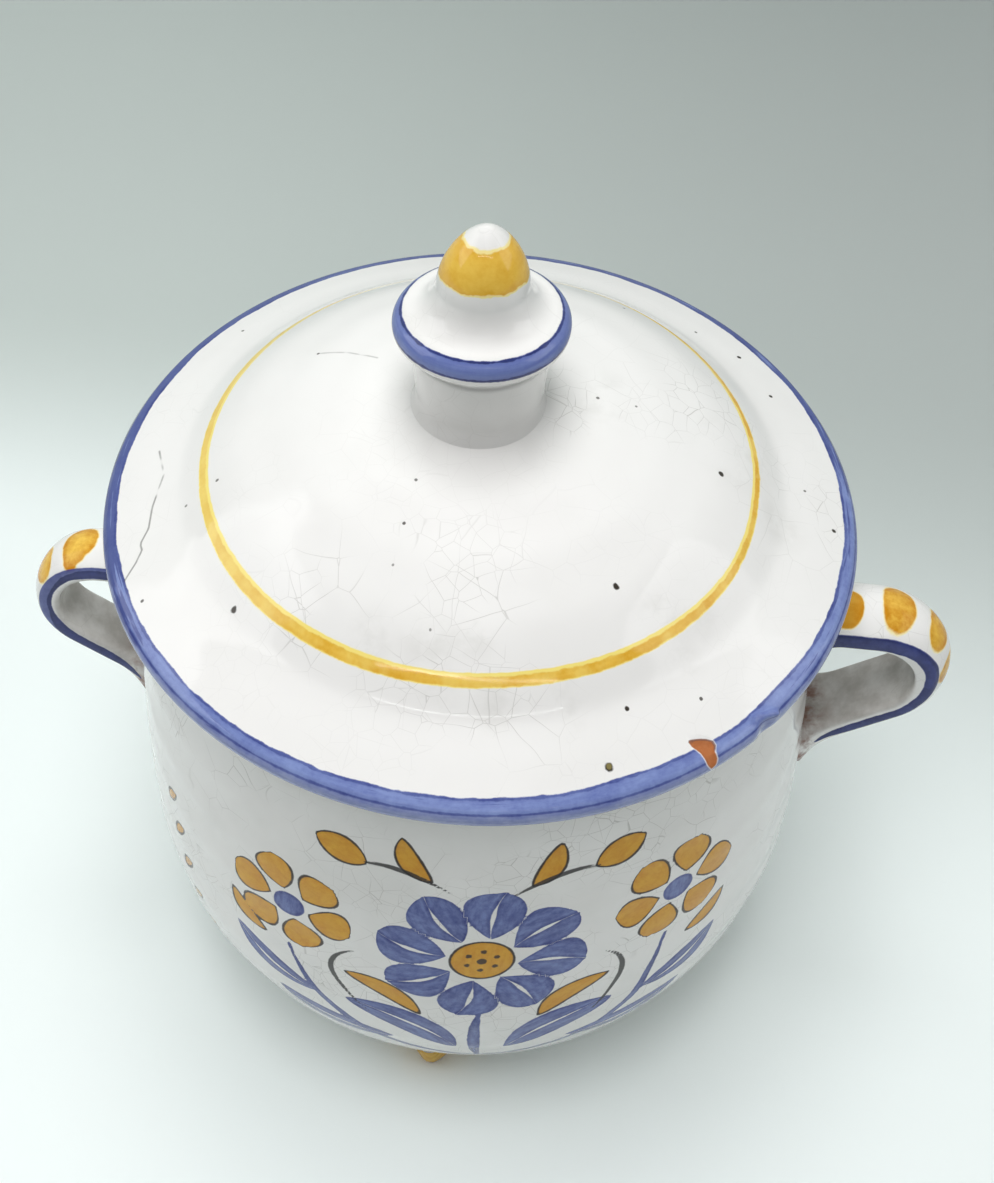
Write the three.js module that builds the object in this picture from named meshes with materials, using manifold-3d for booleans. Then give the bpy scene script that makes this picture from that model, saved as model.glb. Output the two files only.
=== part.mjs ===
// Lidded earthenware pot: round belly, two strap handles, three stub feet, loose domed lid with a knob.
// Millimetres, +Z up. The origin is on the floor under the middle of the pot, and -Y is the front.
import * as THREE from 'three';
import { mergeVertices } from 'three/addons/utils/BufferGeometryUtils.js';
import Module from 'manifold-3d';

const wasm = await Module();
wasm.setup();

// Pot body
const footHeight = 9;             // floor to the flat underside of the pot
const baseRadius = 50;            // flat underside, where the belly starts to curve out
const bellyRadius = 92;           // widest outside
const bellyRise = 67;             // underside to the widest place
const mouthRadius = 84;           // outside, at the rim
const mouthRise = 91;             // widest place to the top of the rim
const wall = 6.5;
const floorThickness = 8;

// Lid: a rounded lip, a sloping brim, and a dome that is half an ellipse in section
const lidOverhang = 11;           // lip past the outside of the mouth
const lipRadius = 3.4;
const lipTopAngle = 60;           // degrees above level, where the lip's round meets the brim
const brimWidth = 21.5;           // edge of the lip to the fold where the dome starts
const domeShoulder = 6.5;         // the dome's ellipse is this much wider than the fold, each side
const domeHeight = 42.5;          // the ellipse's half axis upwards
const domeDrop = 4.9;             // middle of the ellipse below the middle of the lip
const lidWall = 6;
const flangeThickness = 5;
const flangeDepth = 11;

// Knob: a small foot, a neck that widens to a round edge, a hollowed shoulder and a pointed tip
const knobFootRadius = 16.5;
const knobFootEdge = 0.6;
const knobNeckRadius = 15.2;
const knobNeckRise = 3;           // seat to the narrowest place
const knobEdgeRadius = 20.7;      // outside of the round edge
const knobEdgeRound = 4;
const knobEdgeStart = -30;        // degrees below level, where the edge's round begins
const knobFlareRise = 22.5;       // narrowest place to the middle of the round edge
const knobTipRadius = 10.6;
const knobShoulderRise = 8;       // top of the round edge to the start of the tip
const knobTipRise = 16;
const knobOffset = -1.3;          // set by hand, a little to the left of the middle

// Strap handles: an arm straight out, a round bend, and an arm sloping back to the belly.
// They are pulled by hand, so the left one is narrower and sits closer and lower than the right one.
const rightTopDrop = 25.5;        // rim to the middle of the upper arm
const leftTopDrop = 29.5;
const rightStandOff = 27.5;       // belly to the middle of the strap, at its furthest
const leftStandOff = 24.9;
const rightStrapWidth = 19;
const leftStrapWidth = 15;
const handleBend = 15.4;          // radius of the bend, at the middle of the strap
const lowerArmSlope = 37;         // degrees below level
const strapThickness = 5.4;       // at the edges
const rightStrapCrown = 3.8;      // the outer face stands this much prouder in the middle
const leftStrapCrown = 2.6;
const rootFlare = 2.5;            // extra width at the roots
const rootFlareReach = 12;        // distance from the pot over which the strap widens

// Stub feet
const footOffset = 11.5;          // edge of the flat underside to the middle of a foot
const footRadius = 9.5;           // widest
const footBaseRadius = 7;         // flat face on the floor
const footBulgeHeight = 4.5;      // floor to the widest place
const frontFootAngle = -94;       // degrees round the pot, from +X

// Clearances
const seatClearance = 0.3;        // lid on the rim
const flangeClearance = 2;        // lid flange inside the mouth, each side
const jointClearance = 0.3;       // handles, feet and knob from what they are fixed to

// Fineness of the facets
const turnSteps = 60;
const knobTurnSteps = 32;
const footTurnSteps = 20;
const curveSteps = 7;
const strapSteps = 28;
const crownSteps = 6;
const mergeTolerance = 1e-4;

const glazeWhite = 0xece9e2;
const bandBlue = 0x4a55a0;
const ochre = 0xd99a2b;
const glazeRoughness = 0.18;

const halfTurn = 180;
const fullTurn = 360;

// Heights above the floor, and radii that follow from the sizes above
const bellyHeight = footHeight + bellyRise;
const rimHeight = bellyHeight + mouthRise;
const lipHeight = rimHeight + seatClearance + lipRadius;
const lidRadius = mouthRadius + lidOverhang;
const foldRadius = lidRadius - brimWidth;
const domeHalfWidth = foldRadius + domeShoulder;
const flangeRadius = mouthRadius - wall - flangeClearance;

const point = (radius, height) => new THREE.Vector2(radius, height);

// Points for each step of a curve that is given as a function of 0 to 1.
function sample(curve, steps = curveSteps) {
  return Array.from({ length: steps + 1 }, (_, step) => curve(step / steps));
}

// Points of an ellipse about a centre, between two angles in degrees from the direction of the radius.
function ellipseArc(centre, halfWidth, halfHeight, fromDegrees, toDegrees) {
  return sample((share) => {
    const angle = THREE.MathUtils.degToRad(THREE.MathUtils.lerp(fromDegrees, toDegrees, share));
    return point(centre.x + halfWidth * Math.cos(angle), centre.y + halfHeight * Math.sin(angle));
  });
}

// A solid of revolution about +Z. The profile starts and ends on the axis, upwards on its outside.
function turned(profile, steps = turnSteps) {
  const apart = profile.filter((place, index) =>
    index === 0 || place.distanceTo(profile[index - 1]) > mergeTolerance);
  return new THREE.LatheGeometry(apart, steps).rotateX(Math.PI / 2);
}

// A closed geometry as a solid that can be cut: vertices shared, and no triangle with a repeated corner.
function toSolid(geometry) {
  const bare = geometry.clone();
  bare.deleteAttribute('normal');
  bare.deleteAttribute('uv');
  const merged = mergeVertices(bare, mergeTolerance);
  const corners = Array.from(merged.index.array);
  const triangles = [];
  for (let first = 0; first < corners.length; first += 3) {
    const triangle = corners.slice(first, first + 3);
    if (new Set(triangle).size === 3) triangles.push(...triangle);
  }
  return new wasm.Manifold(new wasm.Mesh({
    numProp: 3,
    vertProperties: new Float32Array(merged.attributes.position.array),
    triVerts: new Uint32Array(triangles),
  }));
}

function toGeometry(solid) {
  const mesh = solid.getMesh();
  const geometry = new THREE.BufferGeometry();
  geometry.setAttribute('position', new THREE.BufferAttribute(new Float32Array(mesh.vertProperties), 3));
  geometry.setIndex(new THREE.BufferAttribute(new Uint32Array(mesh.triVerts), 1));
  geometry.computeVertexNormals();
  return geometry;
}

// Outside of the pot from its underside to its rim, moved out by a clearance.
// Below the belly it is a quarter of an ellipse, above it a parabola.
function potOutside(clearance) {
  const below = ellipseArc(point(baseRadius, bellyHeight),
    bellyRadius - baseRadius + clearance, bellyRise + clearance, -90, 0);
  const above = sample((share) => point(
    THREE.MathUtils.lerp(bellyRadius, mouthRadius, share * share) + clearance,
    bellyHeight + mouthRise * share));
  return [...below, ...above];
}

// Inside of the pot from its rim down to its floor, a wall's thickness in.
function potInside() {
  const above = sample((share) => point(
    THREE.MathUtils.lerp(bellyRadius, mouthRadius, (1 - share) ** 2) - wall,
    rimHeight - mouthRise * share));
  const below = ellipseArc(point(baseRadius - wall, bellyHeight),
    bellyRadius - baseRadius, bellyRise - floorThickness, 0, -90);
  return [...above, ...below];
}

function potBody() {
  return turned([
    point(0, footHeight), ...potOutside(0), ...potInside(), point(0, footHeight + floorThickness)]);
}

// The filled pot with the clearance of its joints, which trims the handles and feet to its surface.
const potEnvelope = toSolid(turned([
  point(0, footHeight - jointClearance), ...potOutside(jointClearance), point(0, rimHeight)]));

// Section of a strap: flat inside, an arc outside.
// Its first axis points in, to the pot, and its second across.
function strapSection(strapWidth, strapCrown) {
  const half = strapWidth / 2;
  const flat = strapThickness / 2;
  const crown = sample((share) => {
    const across = THREE.MathUtils.lerp(-half, half, share);
    return new THREE.Vector2(-flat - strapCrown * (1 - (across / half) ** 2), across);
  }, crownSteps);
  return new THREE.Shape([new THREE.Vector2(flat, -half), ...crown, new THREE.Vector2(flat, half)]);
}

// Middle line of a handle on +X, in the XZ plane, from inside the pot's wall round to inside it again.
function handlePath(topDrop, standOff) {
  const place = (radius, height) => new THREE.Vector3(radius, 0, height);
  const bendCentre = point(bellyRadius + standOff - handleBend, rimHeight - topDrop - handleBend);
  const bend = ellipseArc(bendCentre, handleBend, handleBend, 90, lowerArmSlope - 90)
    .map((spot) => place(spot.x, spot.y));
  const bendEnd = bend[bend.length - 1];
  const slope = THREE.MathUtils.degToRad(lowerArmSlope);
  const inwards = bendEnd.x - bellyRadius + wall / 2;
  const path = new THREE.CurvePath();
  path.add(new THREE.LineCurve3(place(mouthRadius - wall / 2, bend[0].z), bend[0]));
  path.add(new THREE.CatmullRomCurve3(bend));
  path.add(new THREE.LineCurve3(bendEnd, place(bendEnd.x - inwards, bendEnd.z - inwards * Math.tan(slope))));
  return path;
}

// A handle on +X, wider at its roots, and trimmed where it meets the pot.
function handle(strapWidth, strapCrown, topDrop, standOff) {
  const strap = new THREE.ExtrudeGeometry(strapSection(strapWidth, strapCrown), {
    steps: strapSteps, extrudePath: handlePath(topDrop, standOff), bevelEnabled: false });
  const places = strap.attributes.position;
  for (let index = 0; index < places.count; index += 1) {
    const away = Math.max(0, places.getX(index) - bellyRadius);
    const nearness = Math.max(0, 1 - away / rootFlareReach);
    places.setY(index, places.getY(index) * (1 + (rootFlare / strapWidth) * nearness ** 2));
  }
  return toGeometry(toSolid(strap).subtract(potEnvelope));
}

// A stub foot on +X: a flat base, a round bulge, and a stem that is trimmed to the underside of the pot.
function foot() {
  const profile = [
    point(0, 0),
    ...ellipseArc(point(footBaseRadius, footBulgeHeight),
      footRadius - footBaseRadius, footBulgeHeight, -90, 0),
    point(footRadius, bellyHeight),
    point(0, bellyHeight),
  ];
  const stub = turned(profile, footTurnSteps).translate(baseRadius + footOffset, 0, 0);
  return toGeometry(toSolid(stub).subtract(potEnvelope));
}

// Height of the dome's outside over a radius.
function domeTop(radius) {
  return lipHeight - domeDrop + domeHeight * Math.sqrt(1 - (radius / domeHalfWidth) ** 2);
}

// The lid: hollow dome, flange inside the mouth, flat seat on the rim, round lip, sloping brim,
// and a flat place in the middle for the knob.
function lidPlate() {
  const seatHeight = lipHeight - lipRadius;
  const insideRadius = flangeRadius - flangeThickness;
  const domeCentre = point(0, lipHeight - domeDrop);
  const hollowHalfWidth = domeHalfWidth - lidWall;
  const degreesAt = (radius, halfWidth) =>
    THREE.MathUtils.radToDeg(Math.acos(Math.min(1, radius / halfWidth)));
  const hollow = ellipseArc(domeCentre, hollowHalfWidth, domeHeight - lidWall,
    90, degreesAt(insideRadius, hollowHalfWidth));
  const hollowEdge = hollow[hollow.length - 1];
  const lip = ellipseArc(point(lidRadius - lipRadius, lipHeight), lipRadius, lipRadius, -90, lipTopAngle);
  const dome = ellipseArc(domeCentre, domeHalfWidth, domeHeight,
    degreesAt(foldRadius, domeHalfWidth), degreesAt(knobFootRadius, domeHalfWidth));
  return turned([
    ...hollow,
    point(insideRadius, hollowEdge.y),
    point(insideRadius, seatHeight - flangeDepth),
    point(flangeRadius, seatHeight - flangeDepth),
    point(flangeRadius, seatHeight),
    ...lip,
    ...dome,
    point(0, domeTop(knobFootRadius)),
  ]);
}

function lidKnob() {
  const edgeHeight = knobNeckRise + knobFlareRise;
  const edgeCentre = point(knobEdgeRadius - knobEdgeRound, edgeHeight);
  const tipStart = edgeHeight + knobEdgeRound + knobShoulderRise;
  const edge = ellipseArc(edgeCentre, knobEdgeRound, knobEdgeRound, knobEdgeStart, 90);
  const flareBend = point(knobNeckRadius, edge[0].y - knobEdgeRound);
  const flare = new THREE.QuadraticBezierCurve(point(knobNeckRadius, knobNeckRise), flareBend, edge[0]);
  const profile = [
    point(0, 0),
    point(knobFootRadius, 0),
    ...ellipseArc(point(knobFootRadius, knobNeckRise),
      knobFootRadius - knobNeckRadius, knobNeckRise - knobFootEdge, -90, -180),
    ...flare.getPoints(curveSteps),
    ...edge,
    ...ellipseArc(point(edgeCentre.x, tipStart), edgeCentre.x - knobTipRadius, knobShoulderRise, -90, -180),
    ...ellipseArc(point(0, tipStart), knobTipRadius, knobTipRise, 0, 90),
  ];
  return turned(profile, knobTurnSteps).translate(knobOffset, 0, 0);
}

const pot = new THREE.Group();

// Adds a named piece with its own glaze, turned about the pot's axis and raised to its place.
function addPiece(name, geometry, colour, degrees = 0, height = 0) {
  const glaze = new THREE.MeshStandardMaterial({ color: colour, roughness: glazeRoughness, metalness: 0 });
  const piece = new THREE.Mesh(geometry, glaze);
  piece.name = name;
  piece.rotation.z = THREE.MathUtils.degToRad(degrees);
  piece.position.z = height;
  pot.add(piece);
}

addPiece('pot_body', potBody(), glazeWhite);

const rightHandle = handle(rightStrapWidth, rightStrapCrown, rightTopDrop, rightStandOff);
const leftHandle = handle(leftStrapWidth, leftStrapCrown, leftTopDrop, leftStandOff);
addPiece('handle_right', rightHandle, bandBlue);
addPiece('handle_left', leftHandle, bandBlue, halfTurn);

['foot_front', 'foot_rear_right', 'foot_rear_left'].forEach((name, index, names) => {
  addPiece(name, foot(), ochre, frontFootAngle + (fullTurn / names.length) * index);
});

addPiece('lid_plate', lidPlate(), glazeWhite);
addPiece('lid_knob', lidKnob(), glazeWhite, 0, domeTop(knobFootRadius) + jointClearance);

export default pot;
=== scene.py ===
import bpy
import numpy as np
from mathutils import Matrix, Vector


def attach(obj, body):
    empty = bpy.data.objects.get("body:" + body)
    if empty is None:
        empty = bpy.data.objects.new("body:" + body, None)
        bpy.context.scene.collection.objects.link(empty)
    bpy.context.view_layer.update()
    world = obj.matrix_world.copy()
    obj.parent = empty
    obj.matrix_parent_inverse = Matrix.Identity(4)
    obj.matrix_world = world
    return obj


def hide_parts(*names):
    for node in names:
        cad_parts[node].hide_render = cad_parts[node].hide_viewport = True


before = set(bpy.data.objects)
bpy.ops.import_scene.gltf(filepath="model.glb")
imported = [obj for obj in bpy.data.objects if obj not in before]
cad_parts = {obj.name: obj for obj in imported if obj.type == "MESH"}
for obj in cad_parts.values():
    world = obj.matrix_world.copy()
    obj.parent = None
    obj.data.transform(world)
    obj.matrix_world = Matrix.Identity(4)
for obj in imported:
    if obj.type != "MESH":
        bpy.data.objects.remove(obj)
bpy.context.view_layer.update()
mm = 0.001
print("frame loaded:", ", ".join(sorted(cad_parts)))


# Camera

view = {
    "place": (26.97, -338.38, 547.51),   # mm
    "pitch": 50.4,       # degrees below level
    "heading": 3.75,     # degrees, from +Y towards -X
    "roll": 2.49,
    "focalPixels": 2000, "imageHeight": 1183, "sensor": 36.0,
}


def makeCamera():
    lens = bpy.data.cameras.new("camera")
    lens.sensor_width = view["sensor"]
    lens.lens = view["focalPixels"] * view["sensor"] / view["imageHeight"]
    lens.clip_start, lens.clip_end = 0.01, 20
    camera = bpy.data.objects.new("camera", lens)
    turn = (Matrix.Rotation(np.radians(view["heading"]), 4, "Z")
            @ Matrix.Rotation(np.radians(90 - view["pitch"]), 4, "X")
            @ Matrix.Rotation(np.radians(view["roll"]), 4, "Z"))
    camera.matrix_world = Matrix.Translation(Vector(view["place"]) * mm) @ turn
    bpy.context.scene.collection.objects.link(camera)
    bpy.context.scene.camera = camera


# Small builders for shader trees

# A number, vector or colour in a shader tree: sums and products of these become Math nodes.
class Value:
    def __init__(self, tree, socket):
        self.tree, self.socket = tree, socket

    def calc(self, operation, *values):
        kind = "ShaderNodeMath"
        if self.socket.type != "VALUE":
            kind = "ShaderNodeVectorMath"
            values = [(value,) * 3 if isinstance(value, (int, float)) else value for value in values]
        made = node(self.tree, kind, dict(enumerate(values)), operation=operation)
        return Value(self.tree, made.outputs[0])

    def __add__(self, other):
        return self.calc("ADD", self, other)

    def __sub__(self, other):
        return self.calc("SUBTRACT", self, other)

    def __rsub__(self, other):
        return self.calc("SUBTRACT", other, self)

    def __mul__(self, other):
        return self.calc("MULTIPLY", self, other)

    def __truediv__(self, other):
        return self.calc("DIVIDE", self, other)

    def __abs__(self):
        return self.calc("ABSOLUTE", self)

    def lessThan(self, other):
        return self.calc("LESS_THAN", self, other)


def node(tree, kind, inputs=None, **settings):
    made = tree.nodes.new(kind)
    for key, value in settings.items():
        setattr(made, key, value)
    for key, value in (inputs or {}).items():
        socket = value.socket if isinstance(value, Value) else value
        if isinstance(socket, bpy.types.NodeSocket):
            tree.links.new(socket, made.inputs[key])
        else:
            made.inputs[key].default_value = value
    return made


def outputs(tree, made):
    return {socket.name: Value(tree, socket) for socket in made.outputs}


def larger(first, second):
    return first.calc("MAXIMUM", first, second)


def clamped(value):
    return Value(value.tree, node(value.tree, "ShaderNodeClamp", {0: value}).outputs[0])


def vectorLength(vector):
    made = node(vector.tree, "ShaderNodeVectorMath", {0: vector}, operation="LENGTH")
    return Value(vector.tree, made.outputs["Value"])


def separate(vector):
    made = node(vector.tree, "ShaderNodeSeparateXYZ", {0: vector})
    return [Value(vector.tree, part) for part in made.outputs]


def combine(*parts):
    tree = next(part.tree for part in parts if isinstance(part, Value))
    return Value(tree, node(tree, "ShaderNodeCombineXYZ", dict(enumerate(parts))).outputs[0])


def fade(value, low, high, toLow=0.0, toHigh=1.0):
    made = node(value.tree, "ShaderNodeMapRange", {"Value": value, "From Min": low, "From Max": high,
                "To Min": toLow, "To Max": toHigh}, interpolation_type="SMOOTHSTEP")
    return Value(value.tree, made.outputs["Result"])


def noise(vector, scale, detail=2.0, rough=0.5, output="Fac"):
    made = node(vector.tree, "ShaderNodeTexNoise", {"Vector": vector, "Scale": scale, "Detail": detail,
                "Roughness": rough})
    return Value(vector.tree, made.outputs[output])


def voronoi(vector, scale, feature):
    return outputs(vector.tree, node(vector.tree, "ShaderNodeTexVoronoi", {"Vector": vector, "Scale": scale},
                                     feature=feature))


def mix(factor, first, second):
    made = node(factor.tree, "ShaderNodeMix", {0: factor, 6: first, 7: second}, data_type="RGBA")
    return Value(factor.tree, made.outputs[2])


def group(name, inputs, results):
    tree = bpy.data.node_groups.new(name, "ShaderNodeTree")
    for sockets, direction in ((inputs, "INPUT"), (results, "OUTPUT")):
        for label, kind in sockets.items():
            tree.interface.new_socket(label, in_out=direction, socket_type="NodeSocket" + kind)
    return tree, outputs(tree, node(tree, "NodeGroupInput"))


def use(tree, inner, **inputs):
    return outputs(tree, node(tree, "ShaderNodeGroup", inputs, node_tree=inner))


def colour(red, green, blue):
    return (red, green, blue, 1.0)


pigment = {
    "white": colour(0.872, 0.861, 0.845),
    "greyWhite": colour(0.785, 0.775, 0.755),
    # grey of painted shade, on the handles' inner faces and in the knob's groove
    "paintedShade": colour(0.44, 0.415, 0.39),
    "greyPatch": colour(0.72, 0.71, 0.685),
    "crazeLine": colour(0.40, 0.385, 0.36),
    "speck": colour(0.05, 0.042, 0.034),
    "olive": colour(0.24, 0.20, 0.075),
    "paleBlue": colour(0.24, 0.31, 0.59),
    "wornBlue": colour(0.18, 0.235, 0.50),
    "midBlue": colour(0.125, 0.163, 0.42),
    "deepBlue": colour(0.038, 0.052, 0.225),
    "lilac": colour(0.30, 0.335, 0.52),
    "navy": colour(0.016, 0.022, 0.095),
    "lemon": colour(0.95, 0.78, 0.22),
    "paleYellow": colour(0.88, 0.57, 0.095),
    "ochre": colour(0.74, 0.395, 0.033),
    "deepOchre": colour(0.60, 0.25, 0.014),
    "darkLine": colour(0.014, 0.011, 0.013),
    "clay": colour(0.52, 0.20, 0.075),
    "deepClay": colour(0.42, 0.12, 0.03),
    "clayStain": colour(0.22, 0.10, 0.07),
}


# Shared effects

# Place on the pot: its radius and height in mm, and a vector that runs slowly round the pot
# and fast across it, so that a noise on it looks like the streaks of a brush.
def makePolar():
    tree, given = group("polarPlace", {"Vector": "Vector"},
                        {"Radius": "Float", "Height": "Float", "Streak": "Vector"})
    across, back, height = separate(given["Vector"] * 1000)
    flat = combine(across, back)
    radius = vectorLength(flat)
    streak = flat.calc("NORMALIZE", flat) * 9 + combine(0, 0, (radius + height) * 0.9)
    node(tree, "NodeGroupOutput", {"Radius": radius, "Height": height, "Streak": streak})
    return tree


# White tin glaze: slow changes of tone, straight fine crackle lines in patches, a few burst bubbles
# and a wavy skin.
def makeGlaze():
    tree, given = group("tinGlaze", {"Vector": "Vector", "Craze": "Float", "Grime": "Float"},
                        {"Color": "Color", "Roughness": "Float", "Height": "Float"})
    vector = given["Vector"]
    tone = fade(noise(vector, 16, 4, 0.6), 0.42, 0.72) * given["Grime"]
    base = mix(tone, pigment["white"], pigment["greyWhite"])
    bent = vector + noise(vector, 50, 2, 0.5, "Color") * 0.004
    crackle = 0.0
    for scale, width, seed in ((105, 0.012, 0.0), (200, 0.019, 3.7)):
        edge = voronoi(bent + (seed, 0.013, 0.021), scale, "DISTANCE_TO_EDGE")["Distance"]
        broken = fade(noise(vector + seed, 38, 2, 0.5), 0.46, 0.6)
        crackle = larger(fade(edge, 0.0, width, 1.0, 0.0) * broken, crackle)
    jittered = vector + noise(vector, 900, 2, 0.5, "Color") * 0.0005
    bubbles = voronoi(jittered, 52, "F1")
    chance = separate(bubbles["Color"])[0]
    speck = bubbles["Distance"].lessThan(fade(chance, 0.8, 1.0, 0.0, 0.021))
    toned = mix(crackle * given["Craze"], base, pigment["crazeLine"])
    toned = mix(speck * 0.7, toned, pigment["speck"])
    height = noise(vector, 22, 2, 0.5) + noise(vector, 95, 2, 0.5) * 0.16 - speck * 0.3
    shine = fade(noise(vector, 38, 3, 0.6), 0.35, 0.7, 0.05, 0.13)
    node(tree, "NodeGroupOutput", {"Color": toned, "Roughness": shine, "Height": height})
    return tree


# Painted stroke from a distance in mm that is negative inside it: a wavering edge,
# and a depth of pigment that runs in streaks, has a fine grain and gathers along the edge.
def makeBrush():
    tree, given = group("brushPaint", {"Distance": "Float", "Vector": "Vector", "Streak": "Vector",
                        "Waver": "Float", "Pool": "Float"}, {"Mask": "Float", "Depth": "Float"})
    vector = given["Vector"]
    distance = given["Distance"] + (noise(vector, 330, 3, 0.6) - 0.5) * (given["Waver"] * 2)
    pool = fade(distance, -1.5, -0.2) * given["Pool"]
    streak = fade(noise(given["Streak"], 1.0, 4, 0.65), 0.3, 0.7)
    blot = fade(noise(vector, 120, 2, 0.5), 0.35, 0.65)
    grain = (noise(vector, 800, 2, 0.6) - 0.5) * 0.7
    depth = clamped(streak * 0.55 + blot * 0.25 + grain + pool)
    node(tree, "NodeGroupOutput", {"Mask": fade(distance, -0.16, 0.16, 1.0, 0.0), "Depth": depth})
    return tree


# Soft spot of a radius in mm about a place on the plan, seen from above; Rag makes its edge uneven.
def makeSpot():
    tree, given = group("spot", {"Vector": "Vector", "Place": "Vector", "Radius": "Float", "Soft": "Float",
                                 "Rag": "Float"}, {"Mask": "Float"})
    away = vectorLength(given["Vector"] * (1000, 1000, 0) - given["Place"])
    share = away / given["Radius"] + (noise(given["Vector"], 700, 2) - 0.5) * given["Rag"]
    node(tree, "NodeGroupOutput", {"Mask": fade(share, 1 - given["Soft"], 1.0, 1.0, 0.0)})
    return tree


polarPlace = makePolar()
tinGlaze = makeGlaze()
brushPaint = makeBrush()
spot = makeSpot()


# A material with its tree, its Object coordinates and a glaze under whatever is painted on it.
class Finish:
    def __init__(self, name, wave, ior=1.5):
        self.material = bpy.data.materials.new(name)
        self.material.use_nodes = True
        self.tree = self.material.node_tree
        self.shader = self.tree.nodes["Principled BSDF"]
        self.shader.inputs["IOR"].default_value = ior
        self.vector = Value(self.tree, node(self.tree, "ShaderNodeTexCoord").outputs["Object"])
        place = use(self.tree, polarPlace, Vector=self.vector)
        self.radius, self.height, self.streak = place["Radius"], place["Height"], place["Streak"]
        self.wave = wave      # mm

    def glaze(self, craze, grime):
        made = use(self.tree, tinGlaze, Vector=self.vector, Craze=craze, Grime=grime)
        self.colour, self.rough, self.bump = made["Color"], made["Roughness"], made["Height"]

    def attribute(self, name, output="Vector"):
        return Value(self.tree, node(self.tree, "ShaderNodeAttribute", attribute_name=name).outputs[output])

    # The tint is a pigment's name, or a colour that changes over the surface.
    def over(self, mask, tint):
        self.colour = mix(mask, self.colour, pigment[tint] if isinstance(tint, str) else tint)

    def spot(self, across, back, radius, soft, rag):
        return use(self.tree, spot, Vector=self.vector, Place=(across, back, 0), Radius=radius,
                   Soft=soft, Rag=rag)["Mask"]

    # Inset shifts the edge inwards, so that a second coat leaves a fringe of the first.
    def paint(self, distance, pale, deep, waver=0.3, pool=0.35, streak=None, strength=1.0, inset=0.0):
        made = use(self.tree, brushPaint, Distance=distance + inset, Vector=self.vector,
                   Streak=streak or self.streak, Waver=waver, Pool=pool)
        self.over(made["Mask"] * strength, mix(made["Depth"], pigment[pale], pigment[deep]))

    def done(self):
        bump = node(self.tree, "ShaderNodeBump", {"Strength": 1.0, "Distance": self.wave * mm,
                    "Height": self.bump}).outputs["Normal"]
        for label, socket in (("Base Color", self.colour.socket), ("Roughness", self.rough.socket),
                              ("Normal", bump)):
            self.tree.links.new(socket, self.shader.inputs[label])
        return self.material


# Shapes

# Points on an ellipse about a centre, between two angles in degrees.
def ellipseArc(centre, halfSize, fromDegrees, toDegrees, count=60):
    turn = np.radians(np.linspace(fromDegrees, toDegrees, count))
    return np.stack([centre[0] + halfSize[0] * np.cos(turn), centre[1] + halfSize[1] * np.sin(turn)], -1)


# Quadratic curve from a start, bent towards a control point, to an end.
def bentLine(start, control, end, count=18):
    share = np.linspace(0, 1, count)[:, None]
    start, control, end = (np.asarray(point, float) for point in (start, control, end))
    return (1 - share) ** 2 * start + 2 * share * (1 - share) * control + share ** 2 * end


# Length along a line up to each of its points.
def runningLength(outline):
    return np.concatenate([[0], np.cumsum(np.hypot(*np.diff(outline, axis=0).T))])


# The points of a line at given places along its running length.
def resample(outline, marks):
    run = runningLength(outline)
    return np.stack([np.interp(marks, run, outline[:, axis]) for axis in (0, 1)], -1)


# The same line with points at equal steps of its running length.
def evenly(outline, step):
    length = runningLength(outline)[-1]
    return resample(outline, np.linspace(0, length, max(2, round(length / step) + 1)))


# Weighted blend of two heights near where they cross, so that the higher one wins without a crease.
def softMax(first, second, reach):
    share = np.clip(0.5 + 0.5 * (first - second) / reach, 0, 1)
    return second + (first - second) * share + reach * share * (1 - share)


# 3 s^2 - 2 s^3, with s from 0 at the low value to 1 at the high one.
def smoothStep(low, high, value):
    share = np.clip((value - low) / (high - low), 0, 1)
    return share * share * (3 - 2 * share)


# A closed skin over a grid of points: rows follow each other, columns close on themselves,
# and each end row is gathered to one point.
def gridSkin(name, grid, startPoint, endPoint, material):
    rows, columns = grid.shape[:2]
    index = np.arange(rows * columns).reshape(rows, columns)
    beside = np.roll(index, -1, 1)
    quads = np.stack([index[:-1], beside[:-1], beside[1:], index[1:]], -1).reshape(-1, 4)
    start, end = rows * columns, rows * columns + 1
    first = np.stack([np.full(columns, start), beside[0], index[0]], -1)
    last = np.stack([index[-1], beside[-1], np.full(columns, end)], -1)
    points = np.concatenate([grid.reshape(-1, 3), [startPoint], [endPoint]]) * mm
    mesh = bpy.data.meshes.new(name)
    mesh.from_pydata(points, [], quads.tolist() + first.tolist() + last.tolist())
    mesh.polygons.foreach_set("use_smooth", np.ones(len(mesh.polygons), bool))
    mesh.materials.append(material)
    piece = bpy.data.objects.new(name, mesh)
    bpy.context.scene.collection.objects.link(piece)
    return piece


# A value or vector for each point of a skin; its two end points take the values of their rows.
def setAttribute(piece, name, values):
    rows = values.reshape(values.shape[0] * values.shape[1], -1)
    whole = np.concatenate([rows, rows[:1], rows[-1:]])
    kind, key = ("FLOAT", "value") if whole.shape[1] == 1 else ("FLOAT_VECTOR", "vector")
    made = piece.data.attributes.new(name, kind, "POINT")
    made.data.foreach_set(key, whole.astype(np.float32).ravel())


# A surface of revolution: each outline point at each angle, with angle 0 at the front (-Y)
# and growing towards +X. The outline's first and last points lie on the axis.
def turnedGrid(outline, angles):
    turn, radius = np.meshgrid(angles, outline[1:-1, 0])
    height = np.repeat(outline[1:-1, 1:2], len(angles), 1)
    return turn, radius, height


# The points of such a surface: (radius sin turn, -radius cos turn, height) from its centre.
def placed(turn, radius, height, centre=(0, 0)):
    return np.stack([centre[0] + radius * np.sin(turn), centre[1] - radius * np.cos(turn), height], -1)


def onAxis(outline, row, centre=(0, 0)):
    return (centre[0], centre[1], outline[row, 1])


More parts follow.
